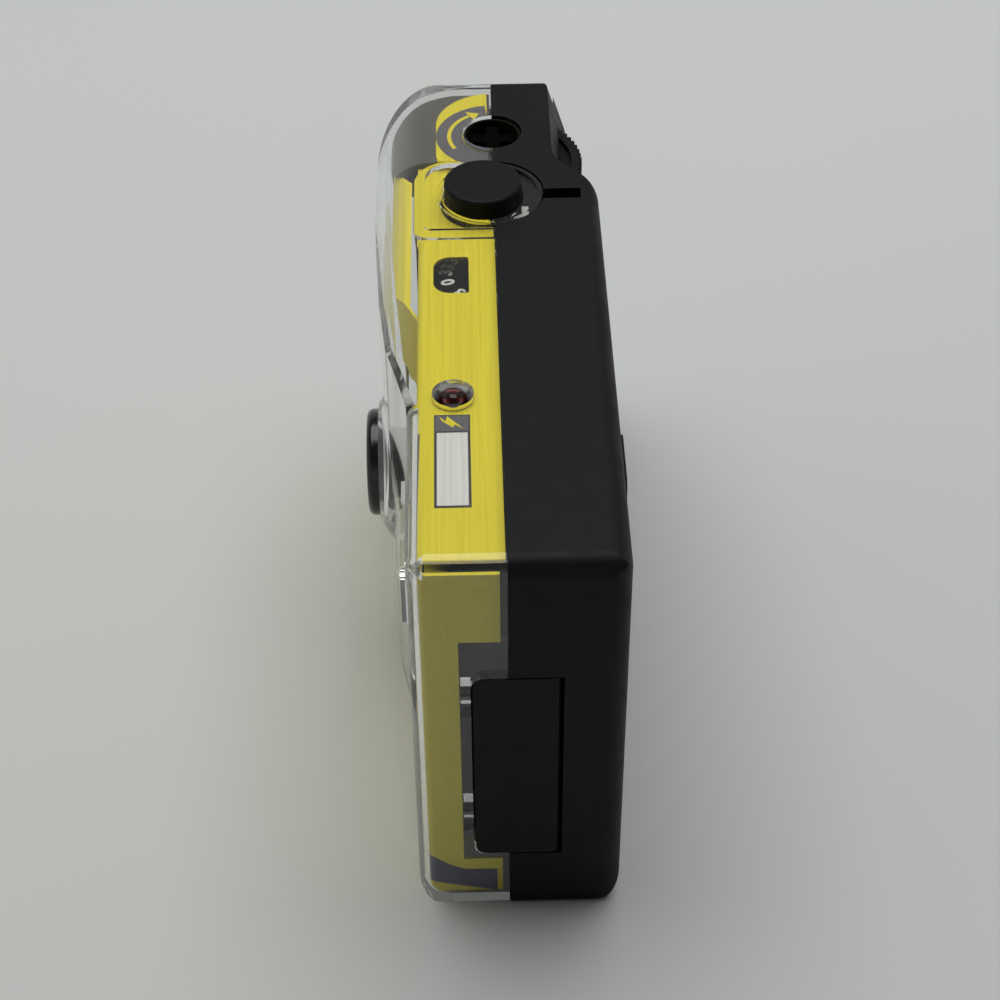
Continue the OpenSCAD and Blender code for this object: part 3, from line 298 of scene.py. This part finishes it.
CONTROL_BLACK = (0.0036, 0.0045, 0.0048)
MATERIALS = {
    "black_casing": plastic("black_casing", (0.0042, 0.0054, 0.0058), 0.5, gloss=0.14),
    "black_control": plastic("black_control", CONTROL_BLACK, 0.48, 3500, gloss=0.14),
    "gloss_black": plastic("gloss_black", (0.005, 0.0052, 0.0053), 0.2, 2500, 0.00001),
    "frame_plastic": plastic("frame_plastic", (0.016, 0.019, 0.021), 0.5),
    # The shoulder and the wheel get painted shade down the winding hub's hole
    "shoulder_plastic": hole_shaded("shoulder_plastic", (0.075, 0.071, 0.058), 0.45, HUB, 4.9,
                              (0.014, 0.014, 0.009)),
    "wheel_black": hole_shaded("wheel_black", CONTROL_BLACK, 0.48, HUB, 4.6, (0.003, 0.003, 0.0025), 0.14),
    "dial_black": plastic("dial_black", (0.0012, 0.0012, 0.0012), 0.6, gloss=0.04, wear_and_sheen=2.0),
    "white_acetal": plastic("white_acetal", (0.7, 0.7, 0.67), 0.4, wear_and_sheen=1.1),
    "clear_casing": clear("clear_casing", (0.985, 0.99, 0.985), 0.02, 1.46, 0.01),
    "clear_lens": clear("clear_lens", (0.97, 0.985, 0.98), 0.008),
    "tube_glass": clear("tube_glass", (0.95, 0.96, 0.96), 0.01, 1.47),
    "red_lamp": clear("red_lamp", (0.36, 0.006, 0.012), 0.12, 1.4),
    "yellow_card": card("yellow_card", (0.78, 0.655, 0.0195)),
    "print_grey": card("print_grey", (0.11, 0.104, 0.112)),
    "print_dark": card("print_dark", (0.035, 0.035, 0.036)),
    "print_white": card("print_white", (0.74, 0.73, 0.68)),
    "print_navy": card("print_navy", (0.05, 0.045, 0.115)),
    "spring_steel": metal("spring_steel", (0.62, 0.62, 0.60), 0.28),
    "blade_steel": metal("blade_steel", (0.10, 0.10, 0.105), 0.4),
    "cassette_steel": metal("cassette_steel", (0.55, 0.55, 0.56), 0.35, (3000, 3000, 200)),
    "reflector_foil": metal("reflector_foil", (0.86, 0.87, 0.88), 0.16),
    "bright_trim": metal("bright_trim", (0.55, 0.54, 0.53), 0.16),
    "copper_winding": metal("copper_winding", (0.64, 0.30, 0.14), 0.4, (300, 300, 5000)),
    "contact_brass": metal("contact_brass", (0.70, 0.56, 0.28), 0.32),
    "film_base": plastic("film_base", (0.11, 0.05, 0.03), 0.25, wear_and_sheen=1.3),
    "board_resin": plastic("board_resin", (0.16, 0.11, 0.03), 0.45, wear_and_sheen=1.4),
    "capacitor_sleeve": plastic("capacitor_sleeve", (0.02, 0.02, 0.03), 0.3, wear_and_sheen=1.5),
    "transformer_tape": plastic("transformer_tape", (0.62, 0.45, 0.08), 0.4, wear_and_sheen=1.2),
    "battery_jacket": plastic("battery_jacket", (0.03, 0.03, 0.035), 0.25, wear_and_sheen=1.5),
}
SEE_THROUGH = ("clear_casing", "clear_lens", "tube_glass")
NODE_MATERIALS = {
    "rear_cover": "black_casing", "front_cover": "clear_casing", "label_card": "yellow_card",
    "wind_label": "yellow_card", "latch_flap": "black_casing", "main_frame": "frame_plastic",
    "wind_plate": "shoulder_plastic", "thumbwheel": "wheel_black", "shutter_button": "black_control",
    "button_spring": "spring_steel", "flash_button": "black_control", "lens_ring": "gloss_black",
    "taking_lens": "clear_lens", "lens_holder": "frame_plastic", "shutter_blade": "blade_steel",
    "energy_lever": "white_acetal", "lever_spring": "spring_steel", "metering_lever": "white_acetal",
    "film_cassette": "cassette_steel", "cassette_caps": "black_control",
    "cassette_spool": "dial_black", "film_strip": "film_base", "film_roll": "film_base",
    "film_sprocket": "white_acetal", "counter_dial": "dial_black",
    "viewfinder_front_lens": "clear_lens", "viewfinder_rear_lens": "clear_lens",
    "flash_window": "clear_lens", "flash_reflector": "reflector_foil", "flash_tube": "tube_glass",
    "ready_lamp": "red_lamp", "lamp_bezel": "bright_trim", "circuit_board": "board_resin",
    "flash_capacitor": "capacitor_sleeve", "step_up_transformer": "transformer_tape",
    "trigger_coil": "copper_winding", "flash_contact": "contact_brass", "battery": "battery_jacket",
    "battery_contacts": "contact_brass",
}


# Finish of one object, where clear pieces let the light through
def dress(obj, material):
    obj.data.materials.clear()
    obj.data.materials.append(MATERIALS[material])
    see_through = material in SEE_THROUGH
    obj.visible_shadow = not see_through
    obj.visible_diffuse = not see_through


def piece(name, bm, material, body):
    mesh = bpy.data.meshes.new(name)
    bm.to_mesh(mesh)
    bm.free()
    obj = bpy.data.objects.new(name, mesh)
    bpy.context.scene.collection.objects.link(obj)
    dress(obj, material)
    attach(obj, body)
    return obj


# Printed sheet of flat shapes, each one outline in mm, on a level face at a height
def flat_print(name, outlines, height, material):
    whole = bmesh.new()
    for outline in outlines:
        bm = bmesh.new()
        verts = [bm.verts.new((u * MM, v * MM, 0)) for u, v in outline]
        edges = [bm.edges.new(pair) for pair in zip(verts, verts[1:] + verts[:1])]
        bmesh.ops.triangle_fill(bm, use_beauty=True, edges=edges)
        made = bmesh.ops.extrude_face_region(bm, geom=bm.faces[:])["geom"]
        raised = [v for v in made if isinstance(v, bmesh.types.BMVert)]
        bmesh.ops.translate(bm, vec=(0, 0, PRINT_T * MM), verts=raised)
        bmesh.ops.recalc_face_normals(bm, faces=bm.faces[:])
        bm.transform(Matrix.Translation((0, 0, height * MM)))
        part = bpy.data.meshes.new(name)
        bm.to_mesh(part)
        bm.free()
        whole.from_mesh(part)
        bpy.data.meshes.remove(part)
    piece(name, whole, material, "camera_body")


# Point at a radius and a turn in degrees round a centre
def round_point(centre, r, turn):
    a = math.radians(turn)
    return centre[0] + r * math.cos(a), centre[1] + r * math.sin(a)


def arc(centre, r, start, end, steps=24):
    return [round_point(centre, r, start + (end - start) * i / steps) for i in range(steps + 1)]


# Band of a ring between two turns
def ring_part(centre, inner, outer, start, end):
    return arc(centre, outer, start, end) + arc(centre, inner, end, start)


def box(x0, y0, x1, y1):
    return [(x0, y0), (x1, y0), (x1, y1), (x0, y1)]


# Grey ring round the winding hub with a curved arrow on it
def wind_print():
    ring = ring_part(HUB, 4.62, 8.6, 187, 353)
    shaft = ring_part(HUB, 6.3, 6.9, 212, 300)
    barb_turn, tip_turn = 211, 197
    head = [round_point(HUB, r, turn) for r, turn in ((5.3, barb_turn), (6.6, tip_turn), (7.9, barb_turn))]
    flat_print("ring_print", [ring], WIND_CARD_TOP, "print_grey")
    flat_print("ring_arrow", [shaft, head], WIND_CARD_TOP + PRINT_T, "yellow_card")


# Framed panel beside the lamp, with a white field and a flash of lightning on grey
def panel_print():
    bolt = [(25.9, -9.6), (26.8, -8.8), (25.8, -8.6), (26.8, -7.75),
            (28.4, -6.4), (27.5, -7.6), (28.1, -7.85), (26.75, -9.3)]
    flat_print("panel_frame", [box(25.5, -10.3, 43.4, -5.6)], CARD_TOP, "print_dark")
    flat_print("panel_white", [box(29.1, -9.95, 43.0, -5.95)], CARD_TOP + PRINT_T, "print_white")
    flat_print("panel_grey", [box(25.7, -10.1, 28.8, -5.8)], CARD_TOP + PRINT_T, "print_grey")
    flat_print("panel_bolt", [bolt], CARD_TOP + 2 * PRINT_T, "yellow_card")


# Closed sheet between two layers of points in mm, each made by a function of its lift off the card
def sheet(name, rows_at, material):
    bm = bmesh.new()
    low, high = layers = [
        [[bm.verts.new(tuple(c * MM for c in p)) for p in row] for row in rows_at(lift)]
        for lift in (PRINT_GAP, PRINT_GAP + PRINT_T)]
    for rows in layers:
        for a, b in zip(rows, rows[1:]):
            for j in range(len(a) - 1):
                bm.faces.new((a[j], a[j + 1], b[j + 1], b[j]))
    for k in (0, -1):
        for a, b, c, d in zip(low, low[1:], high, high[1:]):
            bm.faces.new((a[k], b[k], d[k], c[k]))
        for j in range(len(low[k]) - 1):
            bm.faces.new((low[k][j], low[k][j + 1], high[k][j + 1], high[k][j]))
    bmesh.ops.recalc_face_normals(bm, faces=bm.faces[:])
    piece(name, bm, material, "camera_body")


# Dark border that folds over the front edge of the card above the flash window, narrower to the near end
def flash_border(lift):
    (fold_y, fold_z), r = TOP_FOLD, FOLD_R + lift
    first_x, length, foot_z = 29, 24, 62.9
    rows = []
    for i in range(length + 1):
        x = first_x + i
        upper = 122 + 26 * i / length
        turns = [math.radians(upper + (180 - upper) * k / 8) for k in range(9)]
        row = [(x, fold_y + r * math.cos(a), fold_z + r * math.sin(a)) for a in turns]
        rows.append(row + [(x, fold_y - r, foot_z)])
    return rows


# Dark band across the foot of the near end, folded round its front edge
def foot_band(lift):
    (fold_x, fold_y), r = END_FOLD, FOLD_R + lift
    rear_y, steps, bends = -3.1, 32, 9
    flat_top, flat_d, swept_d, swept_rise = 6.75, 3.9, 4.5, 2.6
    rows = []
    for i in range(steps + 1):
        depth = (rear_y - fold_y) * i / steps
        low = CARD_FOOT + 0.19 * depth ** 1.12
        high = flat_top + swept_rise * max(0, (depth - flat_d) / swept_d) ** 1.6
        rows.append([(fold_x + r, rear_y - depth, low), (fold_x + r, rear_y - depth, high)])
    for i in range(1, bends + 1):
        turn = math.radians(81 * i / bends)
        x, y = fold_x + r * math.cos(turn), fold_y - r * math.sin(turn)
        rows.append([(x, y, low + 0.06 * i), (x, y, high + 0.1 * i)])
    return rows


# Numbers round the counter dial
def dial_numbers():
    count, first_turn, radius = 12, -72, 5.6
    whole = bmesh.new()
    for i in range(count):
        curve = bpy.data.curves.new("number", "FONT")
        curve.body = str(3 * i)
        curve.size = 2.6 * MM
        curve.offset = 0.09 * MM
        curve.extrude = 0.02 * MM
        curve.align_x = "CENTER"
        curve.align_y = "CENTER"
        holder = bpy.data.objects.new("number", curve)
        bpy.context.scene.collection.objects.link(holder)
        seen = holder.evaluated_get(bpy.context.evaluated_depsgraph_get())
        mesh = bpy.data.meshes.new_from_object(seen)
        turn = first_turn + 360 / count * i
        spin = Matrix.Rotation(math.radians(turn - 90), 4, "Z")
        spin.translation = Vector((*round_point(DIAL, radius, turn), DIAL_TOP)) * MM
        mesh.transform(spin)
        whole.from_mesh(mesh)
        bpy.data.objects.remove(holder)
        bpy.data.curves.remove(curve)
        bpy.data.meshes.remove(mesh)
    bmesh.ops.remove_doubles(whole, verts=whole.verts[:], dist=0.000001)
    bmesh.ops.recalc_face_normals(whole, faces=whole.faces[:])
    piece("dial_numbers", whole, "print_white", "counter")


# Smooth coil of wire that fills the box of a CAD spring, with a share of a turn closed at each end
def coil(node, turns, wire_r, closed=0.0, sides=10, per_turn=24):
    low, high = (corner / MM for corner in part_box(node))
    middle = (low + high) / 2
    radius = (high.x - low.x) / 2 - wire_r
    bottom, rise = low.z + wire_r, high.z - low.z - 2 * wire_r
    lift = 2.1 * wire_r * closed
    stops = [(0, 0), (closed, lift), (turns - closed, rise - lift), (turns, rise)]
    bm = bmesh.new()
    rings = []
    for i in range(turns * per_turn + 1):
        turn = i / per_turn
        (t0, z0), (t1, z1) = next(pair for pair in zip(stops, stops[1:]) if turn <= pair[1][0])
        z = bottom + z0 + (z1 - z0) * (turn - t0) / max(t1 - t0, 1e-9)
        ring = []
        for j in range(sides):
            out, up = round_point((radius, z), wire_r, 360 * j / sides)
            ring.append(bm.verts.new(Vector((*round_point(middle, out, 360 * turn), up)) * MM))
        rings.append(ring)
    for a, b in zip(rings, rings[1:]):
        for j in range(sides):
            bm.faces.new((a[j], b[j], b[j - 1], a[j - 1]))
    for ring in (rings[0], rings[-1]):
        bm.faces.new(ring)
    bmesh.ops.recalc_face_normals(bm, faces=bm.faces[:])
    for face in bm.faces:
        face.smooth = len(face.verts) == 4
    made = piece(node + "_coil", bm, "spring_steel", "camera_body")
    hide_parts(node)
    return made


# Springs of the button and the energy lever, the first with a mesh of its own
def springs():
    under_button = coil("button_spring", 6, 0.25, closed=0.75)
    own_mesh(under_button)
    coil("lever_spring", 2, 0.3)


# 1 for rays that look at the surroundings, 0 for rays that gather light
def looking(tree):
    path = tree.nodes.new("ShaderNodeLightPath")
    kinds = ("Camera", "Glossy", "Transmission")
    camera, glossy, through = (path.outputs[f"Is {kind} Ray"] for kind in kinds)
    return combine(tree, "MAXIMUM", combine(tree, "MAXIMUM", camera, glossy), through)


# Plain pale floor that is seen paler far from the object
def lay_floor():
    half = 4
    mesh = bpy.data.meshes.new("floor")
    mesh.from_pydata([(-half, -half, 0), (half, -half, 0), (half, half, 0), (-half, half, 0)],
                     [], [(0, 1, 2, 3)])
    floor = bpy.data.objects.new("floor", mesh)
    bpy.context.scene.collection.objects.link(floor)
    g = Graph("floor")
    g.drive(g.ramp(g.noise(3, 3), (0.60, 0.615, 0.60), (0.63, 0.645, 0.63)), "Base Color")
    g.put(Roughness=0.75, Specular_IOR_Level=0.2, Emission_Color=DAYLIGHT)
    far = remap(g.tree, g.vector("LENGTH", g.place()), 0.45, 1.6, 0, 0.42)
    g.drive(combine(g.tree, "MULTIPLY", looking(g.tree), far), "Emission Strength")
    mesh.materials.append(g.material)


# Soft area light over the far end, facing down
def hang_softbox():
    data = bpy.data.lights.new("softbox", "AREA")
    data.shape = "RECTANGLE"
    data.size, data.size_y = 0.7, 1.0
    data.energy = 7.0
    lamp = bpy.data.objects.new("softbox", data)
    lamp.location = (-0.30, 0, 0.9)
    bpy.context.scene.collection.objects.link(lamp)


# Room that lights from the far side, and is seen as pale walls under a dim ceiling
def light_room():
    world = bpy.data.worlds.new("studio")
    world.use_nodes = True
    tree = world.node_tree
    split = tree.nodes.new("ShaderNodeSeparateXYZ")
    tree.links.new(tree.nodes.new("ShaderNodeTexCoord").outputs["Generated"], split.inputs["Vector"])
    level = remap(tree, split.outputs["X"], -0.1, 0.5, 0.36, 0.015)
    seen = remap(tree, split.outputs["Z"], 0.3, 0.6, 0.5, 0.1)
    both = tree.nodes.new("ShaderNodeMix")
    tree.links.new(looking(tree), both.inputs["Factor"])
    tree.links.new(level, both.inputs["A"])
    tree.links.new(seen, both.inputs["B"])
    room = tree.nodes["Background"]
    room.inputs["Color"].default_value = DAYLIGHT
    tree.links.new(both.outputs["Result"], room.inputs["Strength"])
    bpy.context.scene.world = world


aim_camera()
lay_floor()
hang_softbox()
light_room()
for node, material in NODE_MATERIALS.items():
    dress(NODES[node], material)
wind_print()
panel_print()
sheet("flash_border", flash_border, "print_dark")
sheet("foot_band", foot_band, "print_navy")
dial_numbers()
springs()
bpy.context.scene.view_settings.view_transform = "Standard"
bpy.context.scene.cycles.max_bounces = CLEAR_BOUNCES
bpy.context.scene.cycles.glossy_bounces = CLEAR_BOUNCES
bpy.context.scene.cycles.transmission_bounces = CLEAR_BOUNCES
